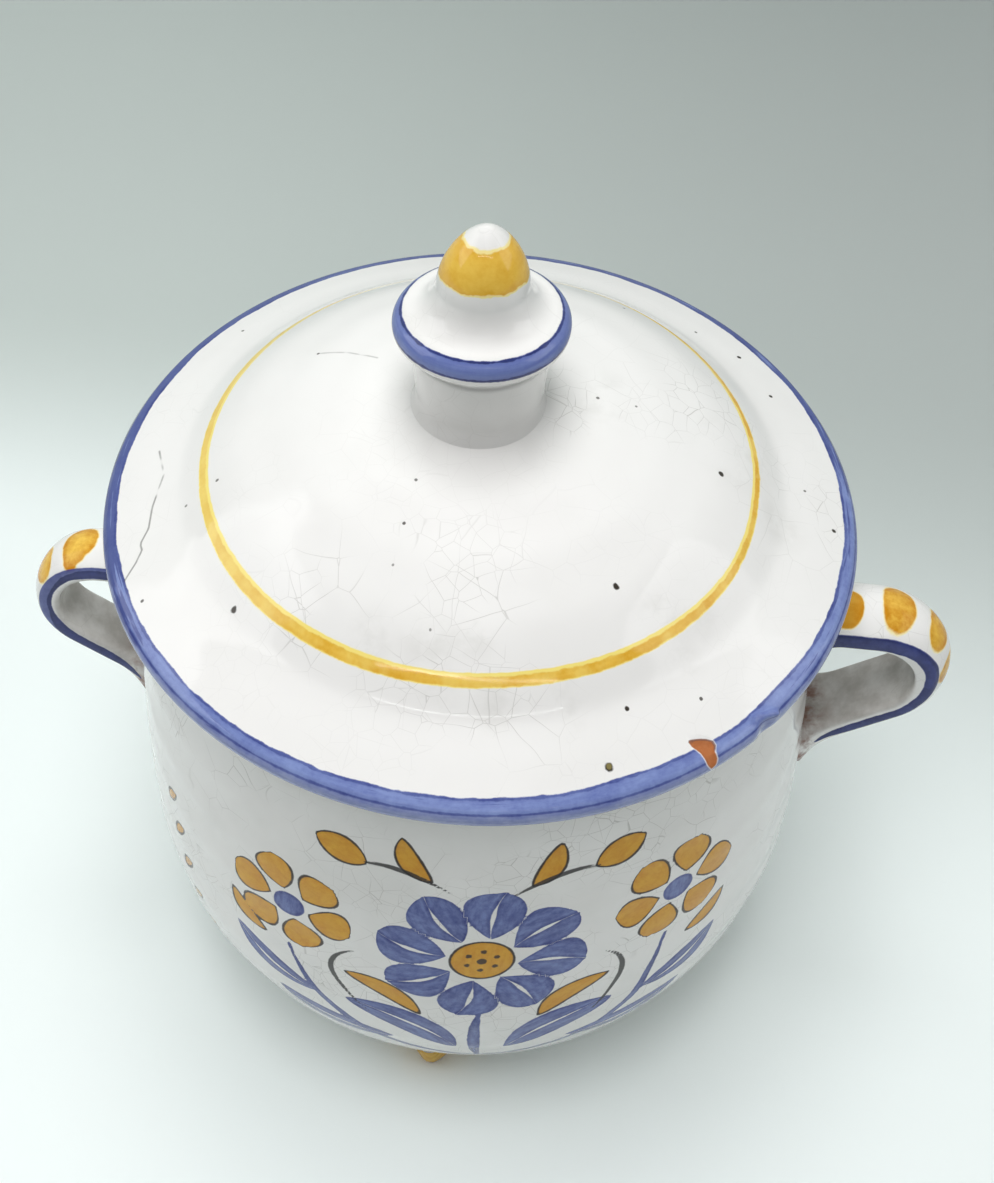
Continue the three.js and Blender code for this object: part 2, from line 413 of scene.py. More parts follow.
def settle(piece, body, slot, *nodes):
    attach(piece, body)
    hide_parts(*nodes)
    print("made", piece.name, len(piece.data.polygons), "faces")


# Strokes: each gives, for points on a flat place in mm, a distance (negative inside), a place across
# the stroke and a place along it.

plain = 50.0        # mm added to the place across, as the mark of a stroke that has no bare rib
leafSpan = 30.0     # place along a leaf at its tip


# Leaf or petal about a bowed rib. Its half width is s^a (1-s)^b, scaled to its widest place, with s from
# base to tip.
def leafField(place, base, tip, halfWidth, bow=0.0, swell=(0.75, 0.75), ribbed=False):
    base, tip = np.asarray(base, float), np.asarray(tip, float)
    length = np.hypot(*(tip - base))
    ahead = (tip - base) / length
    rest = place - base
    share = rest @ ahead / length
    inside = np.clip(share, 0, 1)
    across = rest @ np.array([-ahead[1], ahead[0]]) - bow * 4 * inside * (1 - inside)
    widest = swell[0] / sum(swell)
    peak = widest ** swell[0] * (1 - widest) ** swell[1]
    half = halfWidth * inside ** swell[0] * (1 - inside) ** swell[1] / peak
    beyond = np.maximum(np.maximum(-share, share - 1), 0) * length
    distance = np.hypot(np.maximum(np.abs(across) - half, 0), beyond)
    distance = np.where((beyond == 0) & (np.abs(across) < half), (np.abs(across) - half) * 0.85, distance)
    return np.stack([distance, across + (0 if ribbed else plain), share * leafSpan], -1)


# Line of a given half width at each of its points.
def lineField(place, line, half):
    nearest = np.full(len(place), 1e3)
    side, along = np.zeros(len(place)), np.zeros(len(place))
    run = runningLength(line)
    for start, move, before in zip(line[:-1], np.diff(line, axis=0), run):
        size = np.hypot(*move)
        rest = place - start
        share = np.clip(rest @ move / size ** 2, 0, 1)
        away = np.hypot(*(rest - share[:, None] * move).T)
        nearer = away < nearest
        nearest[nearer] = away[nearer]
        side[nearer] = ((move[0] * rest[:, 1] - move[1] * rest[:, 0]) / size)[nearer]
        along[nearer] = (before + share * size)[nearer]
    width = np.interp(along, run, np.broadcast_to(half, len(line)))
    return np.stack([nearest - width, side + plain, along], -1)


# Brush line: full in the middle, thinner at its ends.
def brushLine(place, line, halfWidth):
    body = np.sin(np.pi * np.linspace(0, 1, len(line)))
    return lineField(place, line, halfWidth * np.maximum(0.4, np.sqrt(np.maximum(body, 0))))


def dotField(place, centre, radius):
    rest = place - np.asarray(centre, float)
    return np.stack([np.hypot(rest[:, 0], rest[:, 1]) - radius, rest[:, 0] + plain, rest[:, 1]], -1)


# Closed outline: the nearest edge gives the distance, and a point is inside where a level line
# from it crosses an odd number of edges.
def outlineField(place, corners):
    corners = np.asarray(corners, float)
    nearest = np.full(len(place), 1e3)
    inside = np.zeros(len(place), bool)
    for start, end in zip(corners, np.roll(corners, -1, 0)):
        move, rest = end - start, place - start
        share = np.clip(rest @ move / (move @ move), 0, 1)
        nearest = np.minimum(nearest, np.hypot(*(rest - share[:, None] * move).T))
        spans = (start[1] > place[:, 1]) != (end[1] > place[:, 1])
        slope = move[0] / (move[1] if abs(move[1]) > 1e-6 else 1e-6)
        inside ^= spans & (rest[:, 0] < slope * rest[:, 1])
    return np.stack([np.where(inside, -nearest, nearest), place[:, 0], place[:, 1]], -1)


# Each point keeps the stroke that it lies deepest in, or nearest to.
def lay(paint, field):
    nearer = field[:, 0] < paint[:, 0]
    paint[nearer] = field[nearer]


# Point at a reach from a centre, in a direction clockwise from straight up.
def spoke(centre, degrees, reach):
    turn = np.radians(degrees)
    return np.array([centre[0] + reach * np.sin(turn), centre[1] + reach * np.cos(turn)])


# Pot body

pot = {
    "footHeight": 9.0, "baseRadius": 50.0, "bellyRadius": 92.0, "bellyHeight": 76.0,
    "mouthRadius": 84.0, "rimHeight": 167.0, "wall": 6.5, "floorThickness": 8.0,
    "paintedFrom": -42.0, "paintedTo": 80.0,       # mm along the outline from the belly
    "fineStep": 0.9, "coarseStep": 2.2, "insideStep": 5.0,
    # degrees from, degrees to, mm between columns
    "columns": ((-76, 62, 0.87), (62, 152, 3.0), (152, 208, 1.5), (208, 284, 3.0)),
    "waver": 0.35,
}


# Radius of the outside: a quarter of an ellipse up to the belly, a parabola from there to the rim.
def bodyRadius(height):
    low = pot["baseRadius"] + (pot["bellyRadius"] - pot["baseRadius"]) * np.sqrt(np.maximum(
        0, 1 - ((pot["bellyHeight"] - height) / (pot["bellyHeight"] - pot["footHeight"])) ** 2))
    share = (height - pot["bellyHeight"]) / (pot["rimHeight"] - pot["bellyHeight"])
    high = pot["bellyRadius"] + (pot["mouthRadius"] - pot["bellyRadius"]) * share ** 2
    return np.where(height < pot["bellyHeight"], low, high)


# Outside: flat underside, a quarter of an ellipse, a parabola to the rim, a round rim.
# Inside: the same a wall's thickness in, down to the floor. Gives the outline and, for each of its
# points, the length along the outside from the belly, or nothing where the point isn't outside.
def potOutline():
    belly, rim, wall = pot["bellyHeight"], pot["rimHeight"], pot["wall"]
    flare = pot["bellyRadius"] - pot["baseRadius"]
    below = ellipseArc((pot["baseRadius"], belly), (flare, belly - pot["footHeight"]), -90, 0)
    up = np.linspace(belly, rim - wall / 2, 60)
    above = np.stack([bodyRadius(up), up], -1)
    whole = np.concatenate([below, above[1:]])
    atBelly = runningLength(below)[-1]
    low, high = atBelly + pot["paintedFrom"], atBelly + pot["paintedTo"]
    length = runningLength(whole)[-1]
    marks = np.concatenate([np.arange(0, low, pot["coarseStep"]), np.arange(low, high, pot["fineStep"]),
                            np.linspace(high, length, 6)])
    outside = resample(whole, marks)
    middle = (bodyRadius(rim - wall / 2) - wall / 2, rim - wall / 2)
    edge = evenly(ellipseArc(middle, (wall / 2, wall / 2), 0, 180, 24), 0.9)[1:-1]
    down = up[::-1]
    insideAbove = np.stack([bodyRadius(down) - wall, down], -1)
    floorRise = belly - pot["footHeight"] - pot["floorThickness"]
    insideBelow = ellipseArc((pot["baseRadius"] - wall, belly), (flare, floorRise), 0, -90)
    inside = evenly(np.concatenate([insideAbove, insideBelow[1:]]), pot["insideStep"])
    across = np.array([0, 12, 30, 42.0])
    under = np.stack([across, np.full(4, pot["footHeight"])], -1)
    floor = np.stack([across[2::-1], np.full(3, pot["footHeight"] + pot["floorThickness"])], -1)
    rise = np.concatenate([np.full(len(under), np.nan), marks - atBelly,
                           np.full(len(edge) + len(inside) + len(floor), np.nan)])
    return np.concatenate([under, outside, edge, inside, floor]), rise


# Slow swells round the pot and fine rings from the throwing, in mm.
def thrown(turn, height):
    swell = np.sin(3 * turn + 1.1 + height / 34) + 0.6 * np.sin(2 * turn - 0.4) + 0.5 * np.sin(
        5 * turn + 2.0 - height / 21)
    return pot["waver"] * (0.6 * swell + 0.28 * np.sin(height / 2.6 + 0.8 * np.sin(turn)))


petalSwell = (0.9, 0.6)       # widest near the tip
spray = {
    "turn": 0.12,              # middle of the spray, radians to the right of the front
    "far": 20.0,               # mm, where a stroke's distance stops counting
    "unsteady": 0.9,           # mm by which the hand strays
    "flower": (0.0, 27.0), "reach": 29.0, "petals": 8, "petalHalf": 8.2, "heart": 8.6, "seeds": 6,
    "sideFlower": (53.0, 34.0), "sideReach": 18.0, "sidePetals": 6, "sideHalf": 6.0, "sideHeart": 4.6,
    "stemFoot": (1.0, -38.0), "stemHalf": 1.8,
    # of the right side, mirrored on the left: base, tip, half width, bow
    "leaves": (((7, -26), (37, -5), 7.0, 5), ((25, -25), (60, -18), 5.6, -4), ((46, -8), (70, 6), 4.8, -3)),
    "dabs": (((16, -4), (36, 10), 3.8, 3), ((13, 57), (21, 71), 3.4, -2), ((59, 12), (71, 22), 3.0, -2)),
    "budStem": ((8, 54), (20, 62), (31, 59)), "bud": ((30, 59), (44, 64), 4.6, 0),
    "tendril": ((31, -9), (47, 12), (34, 21)),
}


# One flower: petals that broaden towards their tips, set round a heart.
def paintFlower(place, petalPaint, heartPaint, centre, reach, petals, half, heart, start, ribbed=False):
    for petal in range(petals):
        degrees = 360 / petals * petal + start
        base, tip = spoke(centre, degrees, heart + 1.2), spoke(centre, degrees + 4, reach)
        lay(petalPaint, leafField(place, base, tip, half, 0.06 * reach, petalSwell, ribbed))
    lay(heartPaint, dotField(place, centre, heart))


# Spray of flowers on the front: place is (mm to the right, mm up) from the middle of the spray.
def paintSpray(place, blue, yellow, dark):
    sway = spray["unsteady"] * np.stack([np.sin(place[:, 1] / 9 + 0.4) + np.sin(place[:, 0] / 23),
                                         np.sin(place[:, 0] / 11 + 1.0) + np.sin(place[:, 1] / 17)], -1)
    place = place + sway
    flower = np.array(spray["flower"])
    paintFlower(place, blue, yellow, flower, spray["reach"], spray["petals"], spray["petalHalf"],
                spray["heart"], 8, True)
    for seed in range(spray["seeds"]):
        lay(dark, dotField(place, spoke(flower, 360 / spray["seeds"] * seed, 0.5 * spray["heart"]), 0.9))
    lay(dark, dotField(place, flower, 1.4))
    foot = np.array(spray["stemFoot"])
    stem = bentLine(foot, (-5, -18), flower - (0, spray["reach"] - 1))
    lay(blue, brushLine(place, stem, spray["stemHalf"]))
    for side in (-1, 1):
        mirror = np.array([side, 1])
        head = np.array(spray["sideFlower"]) * mirror + (0, 2.5 * side)
        paintFlower(place, yellow, blue, head, spray["sideReach"], spray["sidePetals"], spray["sideHalf"],
                    spray["sideHeart"], 20 * side)
        arm = bentLine(foot, (side * 44, -34), head - (side * 1, spray["sideReach"] + 1))
        lay(blue, brushLine(place, arm, 0.8 * spray["stemHalf"]))
        for paint, strokes, ribbed in ((blue, spray["leaves"], True), (yellow, spray["dabs"], False),
                                       (yellow, (spray["bud"],), False)):
            for base, tip, half, bow in strokes:
                lay(paint, leafField(place, np.array(base) * mirror, np.array(tip) * mirror, half,
                                     bow * side, ribbed=ribbed))
        for line in (spray["budStem"], spray["tendril"]):
            lay(dark, brushLine(place, bentLine(*(np.array(point) * mirror for point in line)), 0.8))


sprig = {
    "turn": -0.92,             # radians to the right of the front
    "dabs": 5, "start": (-7.0, 24.0), "step": (3.2, -12.0), "dab": (5.0, 6.5), "half": 1.9, "bow": 0.6,
}
backFlower = {
    "centre": (0.0, 34.0), "reach": 21.0, "petals": 6, "petalHalf": 7.2, "heart": 5.6,
    "stem": ((3, -24), (-5, -6), (0, 12)), "stemHalf": 1.9,
    "leafBase": (3.0, -18.0), "leafTip": (31.0, 2.0), "leafHalf": 6.6, "leafBow": 5.0,
}


# Sprig on the left side: short dabs in a leaning row.
def paintSprig(place, yellow):
    for count in range(sprig["dabs"]):
        base = np.array(sprig["start"]) + np.array(sprig["step"]) * count
        lay(yellow, leafField(place, base, base + sprig["dab"], sprig["half"], sprig["bow"]))


# One larger flower with two leaves on the back.
def paintBack(place, blue, yellow):
    paintFlower(place, yellow, blue, backFlower["centre"], backFlower["reach"], backFlower["petals"],
                backFlower["petalHalf"], backFlower["heart"], 0)
    lay(blue, brushLine(place, bentLine(*backFlower["stem"]), backFlower["stemHalf"]))
    for side in (-1, 1):
        base, tip = (np.array(backFlower[key]) * (side, 1) for key in ("leafBase", "leafTip"))
        bow = backFlower["leafBow"] * side
        lay(blue, leafField(place, base, tip, backFlower["leafHalf"], bow, ribbed=True))


def bodyMaterial():
    finish = Finish("whiteGlaze", 0.16, 1.28)
    finish.glaze(0.6, 1.0)
    for name, pale, deep, pool in (("yellowStroke", "ochre", "deepOchre", 0.2),
                                   ("blueStroke", "wornBlue", "deepBlue", 0.4)):
        distance, across, along = separate(finish.attribute(name))
        share = along / leafSpan
        bareHalf = fade(share, 0.12, 0.45) * fade(share, 0.5, 0.85, 0.6, 0.0)     # mm, half the bare rib
        streak = combine(across * 0.5, along * 0.12)
        finish.paint(larger(distance, bareHalf - abs(across)), pale, deep, 0.3, pool, streak)
        if name == "yellowStroke":
            rim = abs(distance + 0.1) - 0.36
            finish.paint(rim, "darkLine", "darkLine", 0.25, 0.0, strength=0.95)
    distance = separate(finish.attribute("darkStroke"))[0]
    finish.paint(distance, "darkLine", "darkLine", 0.2, 0.0, strength=0.92)
    return finish.done()


def makePot():
    outline, rise = potOutline()
    angles = np.radians(np.concatenate([
        np.linspace(start, end, round(np.radians(end - start) * pot["bellyRadius"] / step), endpoint=False)
        for start, end, step in pot["columns"]]))
    turn, radius, height = turnedGrid(outline, angles)
    onWall = smoothStep(pot["footHeight"], pot["footHeight"] + 25, height)
    grid = placed(turn, radius + thrown(turn, height) * onWall, height)
    piece = gridSkin("pot_shell", grid, onAxis(outline, 0), onAxis(outline, -1), bodyMaterial())

    rise = np.repeat(rise[1:-1, None], len(angles), 1)
    blank = np.array([spray["far"], 0, 0])
    names = ("blueStroke", "yellowStroke", "darkStroke")
    paints = {name: np.tile(blank, (turn.size, 1)) for name in names}
    outer = ~np.isnan(rise.ravel())
    fresh = {name: paint[outer] for name, paint in paints.items()}

    def placeFrom(middle):
        away = (turn - middle + np.pi) % (2 * np.pi) - np.pi
        return np.stack([away * pot["bellyRadius"], rise], -1).reshape(-1, 2)[outer]

    paintSpray(placeFrom(spray["turn"]), *fresh.values())
    paintSprig(placeFrom(sprig["turn"]), fresh["yellowStroke"])
    paintBack(placeFrom(np.pi), fresh["blueStroke"], fresh["yellowStroke"])
    for name, paint in paints.items():
        paint[outer] = fresh[name]
        setAttribute(piece, name, np.clip(paint, -60, 60).reshape(*turn.shape, 3))
    settle(piece, "pot", "white_glaze", "pot_body")


# Lid

lid = {
    "radius": 95.0, "lipRadius": 3.4, "lipHeight": 170.7, "lipTop": 60.0,
    "foldRadius": 73.5, "domeHalfWidth": 80.0, "domeHeight": 42.5, "domeCentre": 165.8, "foldSoft": 2.5,
    "wall": 6.0, "flangeRadius": 75.5, "flangeThickness": 5.0, "flangeDepth": 11.0,
    "step": 1.2, "lipStep": 0.55, "insideStep": 2.6, "columns": 420, "waver": 0.22,
    "ringRadius": 68.4, "ringFront": 1.38, "ringBack": 0.98,     # half widths
    "ringLeft": 0.25,                                # mm added to the half width on the left
    "ringPull": -1.3,                                # mm inwards at the back on the right
    "bandFrom": 91.0, "bandDown": 2.6,               # radius on the brim, mm below the lip's middle
    "grooveRise": 2.0, "grooveDepth": 0.16, "grooveReach": 0.35,     # mm above the lip's middle, mm, mm
    # chip: degrees to the right of the front; corners are mm to the right and mm in from the lip's top
    "chipTurn": 39.5, "chipDepth": 0.8,
    "chip": ((-3.2, 4.4), (-2.5, 5.2), (0.4, 4.2), (2.3, 3.0), (3.3, 1.8), (1.9, 0.2), (1.8, -1.7),
             (1.0, -3.3), (0.0, -4.0), (-1.1, -1.9), (-1.4, 1.2), (-2.1, 2.8)),
    # fold in the lip: a ridge and a dent, each with its height and its reach in mm
    "foldTurn": 50.0, "foldRidge": ((-2.2, 1.6), (4.0, -1.4)), "foldDent": (-0.2, -3.4),
    "ridgeHeight": 0.95, "ridgeReach": 0.8, "dentDepth": 1.1, "dentReach": 2.2,
    # more columns from a place before the chip to one past the fold, in degrees from them
    "fineFrom": -4.1, "fineTo": 5.1, "fineColumns": 70,
    "crack": ((-81.8, 0.4), (-79.1, -7.2), (-80.0, -17.5), (-79.6, -24.0), (-80.9, -28.3), (-80.0, -30.2),
              (-80.9, -33.6), (-82.4, -37.0)),
    "shortCrack": ((-43.7, 19.7), (-36.0, 18.5), (-29.3, 15.5)),
    # mm to the right, mm back, radius
    "specks": ((63.1, 55.4, 0.7), (71.7, 41.1, 0.65), (58.0, -4.2, 0.8), (80.5, 7.6, 0.5), (88.2, -2.0, 0.65),
               (26.7, 7.1, 0.5), (36.1, 7.7, 0.45), (31.3, 55.7, 0.5), (51.2, 61.9, 0.5), (-69.6, 49.0, 0.5),
               (-43.7, 19.7, 0.5), (-13.5, -24.9, 0.5), (-14.9, -36.2, 0.55), (-70.7, -20.0, 0.45),
               (-63.0, -17.0, 0.5), (-53.2, -50.7, 0.95), (-16.2, -46.1, 0.4), (34.9, -43.7, 0.9),
               (37.0, -79.9, 1.15), (39.9, -66.5, 0.65), (56.8, -60.0, 0.55), (-6.0, -59.6, 0.4),
               (-77.1, -44.6, 0.55)),
    "oliveSpeck": (37.0, -79.7, 0.85),
    "crackled": ((-2, -58, 36), (11, -72, 30), (24, 2, 24), (50, 16, 28), (78, 0, 26), (-30, -54, 24)),
    "greyPatches": ((-19, -61, 8), (-6, -62, 10), (4, -60, 7), (-3, -72, 6), (10, -72, 7), (25, -70, 8),
                (46, -46, 9), (54, -42, 8), (52, -53, 7), (62, 6, 16), (28, 8, 13), (74, -8, 9)),
}


# Height of the dome: part of an ellipse.
def domeTop(radius):
    slope = np.sqrt(np.maximum(0, 1 - (radius / lid["domeHalfWidth"]) ** 2))
    return lid["domeCentre"] + lid["domeHeight"] * slope


# Underside: a hollow dome, a flange, a flat seat. Then a round lip with a fine groove, a sloping brim,
# and a dome that is part of an ellipse; brim and dome run into each other softly.
# Gives the outline and, for each point, the length inwards from the lip's top.
def lidOutline():
    seat = lid["lipHeight"] - lid["lipRadius"]
    inner = lid["flangeRadius"] - lid["flangeThickness"]
    hollowSize = (lid["domeHalfWidth"] - lid["wall"], lid["domeHeight"] - lid["wall"])
    edgeTurn = np.degrees(np.arccos(inner / hollowSize[0]))
    hollow = ellipseArc((0, lid["domeCentre"]), hollowSize, 90, edgeTurn)
    foot = seat - lid["flangeDepth"]
    flange = np.array([[inner, foot + 2], [inner + 0.6, foot + 0.6], [inner + 2, foot],
                       [lid["flangeRadius"] - 2, foot], [lid["flangeRadius"] - 0.6, foot + 0.6],
                       [lid["flangeRadius"], foot + 2], [lid["flangeRadius"], seat - 1],
                       [lid["flangeRadius"] + 1, seat]])
    lipMiddle = (lid["radius"] - lid["lipRadius"], lid["lipHeight"])
    lip = ellipseArc(lipMiddle, (lid["lipRadius"], lid["lipRadius"]), -90, lid["lipTop"])
    fromGroove = lip[:, 1] - lid["lipHeight"] - lid["grooveRise"]
    lip[:, 0] -= lid["grooveDepth"] * np.exp(-(fromGroove / lid["grooveReach"]) ** 2)
    radius = np.linspace(lip[-1, 0], 0, 200)
    foldHeight = domeTop(lid["foldRadius"])
    brim = foldHeight + (radius - lid["foldRadius"]) * (lip[-1, 1] - foldHeight) / (
        lip[-1, 0] - lid["foldRadius"])
    top = np.stack([radius, softMax(domeTop(radius), brim, lid["foldSoft"])], -1)
    below = evenly(np.concatenate([hollow, flange]), lid["insideStep"])
    lip, top = evenly(lip, lid["lipStep"]), evenly(top, lid["step"])[1:]
    outline = np.concatenate([below, lip, top])
    run = runningLength(outline)
    return outline, run - run[len(below) + len(lip) - 1]


# Distance from a hairline on the plan, and the signed place across it, in mm.
def hairline(x, y, places):
    field = lineField(np.stack([x, y], -1).reshape(-1, 2), np.array(places), 0.0)
    return (field * (1, 1, 0) - (0, plain, 0)).reshape(*x.shape, 3)


def lidMaterial():
    finish = Finish("lidGlaze", 0.14)
    crackled = 0.15
    for place in lid["crackled"]:
        crackled = larger(finish.spot(*place, 0.9, 0.0), crackled)
    finish.glaze(crackled * 0.6, 0.35)
    # soft grey patches in a cloudy noise
    cloud = fade(noise(finish.vector, 80, 4, 0.65), 0.4, 0.62, 0.0, 0.6)
    for place in lid["greyPatches"]:
        finish.over(finish.spot(*place, 1.0, 0.0) * cloud, "greyPatch")

    # the ring: a lemon stroke with an ochre core that is fainter on the left
    planX, planY, _ = separate(finish.vector)
    drift = (noise(finish.vector, 11, 1) - 0.5) * 1.6
    drift = drift + fade(planX, 0.02, 0.066) * fade(planY, -0.035, 0.0) * lid["ringPull"]
    away = finish.radius - (drift + lid["ringRadius"])
    half = (fade(planY, -0.066, -0.01, lid["ringFront"], lid["ringBack"])
            + fade(planX, -0.066, 0.0, lid["ringLeft"], 0.0))
    # of the chip: distance from its edge, mm round the lip, mm in from the lip's top
    chip, chipRound, chipIn = separate(finish.attribute("chip"))
    upper = fade(chipIn, 0.0, 2.0)
    ring = abs(away) - half + (1 - upper) * 9
    finish.paint(ring, "lemon", "lemon", 0.25, 0.0)
    core = larger(abs(away - 0.25) - half + 0.45, ring)
    dry = fade(noise(finish.streak, 1.3, 3, 0.6), 0.36, 0.6, 0.65, 1.0)
    dry = dry * fade(planX, -0.066, -0.03, 0.55, 1.0)
    finish.paint(core, "paleYellow", "ochre", 0.45, 0.3, strength=dry)

    # the lip: a bead, a dark groove, a paler face below it, and painted shade where it turns underneath
    ragged = (noise(finish.vector, 45, 3, 0.6) - 0.5) * 2
    band = larger(ragged - (finish.radius - lid["bandFrom"]),
                  lid["lipHeight"] - lid["bandDown"] - finish.height)
    finish.paint(band, "paleBlue", "midBlue", 0.3, 0.2)
    # paler lilac face below the groove: thinner paint, partly a painted reflection of the floor
    over = finish.height - (lid["lipHeight"] + lid["grooveRise"])
    finish.paint(larger(band, over), "lilac", "midBlue", 0.1, 0.0, strength=0.7)
    # fine lines of the brush, more of them at the back and on the left and fewer at the front: painted shade
    # at the sides and a painted highlight on the front of the band
    lines = noise(finish.streak * (0.6, 0.6, 2.2), 1.0, 3, 0.6)
    full = fade(planY, -0.085, 0.09, -0.09, 0.25) + fade(planX, -0.095, -0.05, 0.2, 0.0)
    lines = fade(lines + full, 0.54, 0.66, 0.0, 0.75)
    finish.paint(band, "deepBlue", "deepBlue", 0.3, 0.0, strength=lines)
    edge = abs(band + 0.35) - 0.28 + over.lessThan(0.6) * 9
    finish.paint(edge, "midBlue", "deepBlue", 0.6, 0.3, strength=0.7)
    groove = larger(abs(over) - 0.22, band + 1.2)
    finish.paint(groove, "midBlue", "deepBlue", 0.3, 0.3, strength=0.85)
    # painted shade on the underside of the lip
    under = over + (lid["grooveRise"] + 1.4)
    finish.paint(larger(band, under), "midBlue", "deepBlue", 0.3, 0.0, strength=0.4)

    for across, back, size in lid["specks"]:
        finish.over(finish.spot(across, back, size, 0.4, 0.8) * upper * min(1.0, 1.6 * size), "speck")
    finish.over(finish.spot(*lid["oliveSpeck"], 0.5, 0.4) * upper, "olive")
    for name, strength in (("crack", 0.6), ("shortCrack", 0.35)):
        away, side, _ = separate(finish.attribute(name))
        line = fade(abs(side), 0.12, 0.36, strength, 0.0) * fade(away, 1.2, 1.8, 1.0, 0.0)
        finish.over(line * fade(noise(finish.vector, 140, 2), 0.36, 0.5), "speck")

    # the chip: a pale rim of broken glaze, bare clay, and a dark line along its inner side
    finish.over(fade(chip, 0.1, 0.45, 0.8, 0.0), "white")
    bare = use(finish.tree, brushPaint, Distance=chip, Vector=finish.vector, Streak=finish.streak,
               Waver=0.2, Pool=0.0)["Mask"]
    finish.over(bare, mix(noise(finish.vector, 420, 4, 0.65), pigment["clay"], pigment["deepClay"]))
    rim = fade(abs(chip + 0.05), 0.1, 0.3, 0.85, 0.0)
    innerSide = fade(chipIn + chipRound * 0.9, 1.6, 2.8)
    finish.over(rim * innerSide, "clayStain")
    finish.rough = finish.rough + bare * 0.6
    finish.bump = finish.bump + bare * noise(finish.vector, 900, 3, 0.7)
    return finish.done()


def makeLid():
    outline, inwards = lidOutline()
    angles = np.linspace(-np.pi, np.pi, lid["columns"], endpoint=False)
    fine = np.radians(np.linspace(lid["chipTurn"] + lid["fineFrom"], lid["foldTurn"] + lid["fineTo"],
                                  lid["fineColumns"]))
    angles = np.sort(np.concatenate([angles, fine]))
    turn, radius, height = turnedGrid(outline, angles)
    swell = np.sin(2 * turn + 0.7) + 0.6 * np.sin(3 * turn - 1.0) + 0.4 * np.sin(5 * turn)
    radius = radius + lid["waver"] * swell * smoothStep(20, 90, radius)
    height = height + 0.10 * np.sin(radius / 2.2 + 0.6 * np.sin(turn)) * smoothStep(
        lid["lipHeight"] + 3, lid["lipHeight"] + 10, height)
    x, y = radius * np.sin(turn), -radius * np.cos(turn)

    # mm round the lip from a turn in degrees, and mm in from its top
    inwards = np.repeat(inwards[1:-1, None], len(angles), 1)

    def lipPlace(degrees):
        around = (turn - np.radians(degrees)) * lid["radius"]
        return np.stack([around, inwards], -1).reshape(-1, 2)

    chip = outlineField(lipPlace(lid["chipTurn"]), lid["chip"])
    sunk = lid["chipDepth"] * smoothStep(0.15, -0.9, chip[:, 0])
    folded = lipPlace(lid["foldTurn"])
    ridge = lineField(folded, np.array(lid["foldRidge"]), 0.0)[:, 0]
    dent = np.hypot(*(folded - lid["foldDent"]).T)
    bulge = (lid["ridgeHeight"] * np.exp(-(ridge / lid["ridgeReach"]) ** 2)
             - lid["dentDepth"] * np.exp(-(dent / lid["dentReach"]) ** 2) - sunk).reshape(turn.shape)
    outward = np.gradient(outline, axis=0)[1:-1]
    outward = np.stack([outward[:, 1], -outward[:, 0]], -1) / np.hypot(*outward.T)[:, None]
    radius = radius + bulge * outward[:, :1]
    height = height + bulge * outward[:, 1:]
    piece = gridSkin("lid_shell", placed(turn, radius, height), onAxis(outline, 0), onAxis(outline, -1),
                     lidMaterial())
    setAttribute(piece, "chip", np.clip(chip, -9, 9).reshape(*turn.shape, 3))
    top = height > lid["lipHeight"] + 1
    for name in ("crack", "shortCrack"):
        line = np.where(top[..., None], hairline(x, y, lid[name]), 9)
        setAttribute(piece, name, np.clip(line, -9, 9))
    settle(piece, "lid", "lid_glaze", "lid_plate")


# Knob

knob = {
    "centre": (-1.3, 0.0), "seat": 207.7, "stemRadius": 15.3, "fillet": 5.5, "filletSink": 2.3,
    "stemTop": 16.4, "grooveRise": 19.8, "grooveDepth": 0.5, "grooveHalf": 0.7,
    "edgeRadius": 20.77, "edgeRound": 4.3, "edgeRise": 26.1, "edgeArc": (-70, 84),
    "shoulderBend": (12.6, 31.0),
    "tipRadius": 10.75, "tipStart": 37.5, "tipRise": 16.9, "tipRound": (1.8, 1.5),
    "tilt": (0.03, -0.07), "tiltFrom": 14.0, "tiltTo": 24.0, "lean": 0.55,
    "bandArc": (-8, 64),        # degrees round the edge
    "ochreFrom": 41.3, "capFrom": 51.2,
    "step": 0.55, "columns": 160,
}


# A fillet, a stem that widens a little, a fine groove, a cove, a round edge, a hollowed shoulder, and a tip
# whose radius is (1 - s^a)^(1/b) of its foot's, with s from foot to point.
def knobOutline():
    stem, fillet, top = knob["stemRadius"], knob["fillet"], knob["stemTop"]
    foot = ellipseArc((stem + fillet, fillet), (fillet, fillet + knob["filletSink"]), -90, -180, 24)
    rise, half = knob["grooveRise"], knob["grooveHalf"]
    groove = np.array([[top, rise - half], [top - knob["grooveDepth"], rise], [top, rise + half]])
    middle = (knob["edgeRadius"] - knob["edgeRound"], knob["edgeRise"])
    edge = ellipseArc(middle, (knob["edgeRound"],) * 2, *knob["edgeArc"])
    cove = bentLine(groove[-1], (top, edge[0, 1] - 1.2), edge[0])
    shoulder = bentLine(edge[-1], knob["shoulderBend"], (knob["tipRadius"], knob["tipStart"]))
    share = np.linspace(0, 1, 60)
    sharp, blunt = knob["tipRound"]
    tip = np.stack([knob["tipRadius"] * (1 - share ** sharp) ** (1 / blunt),
                    knob["tipStart"] + knob["tipRise"] * share], -1)
    hidden = np.array([[0, -4.0], [stem, -3.8]])
    outline = np.concatenate([hidden, foot, groove, cove[1:], edge[1:], shoulder[1:], tip[1:]])
    return evenly(outline, knob["step"])


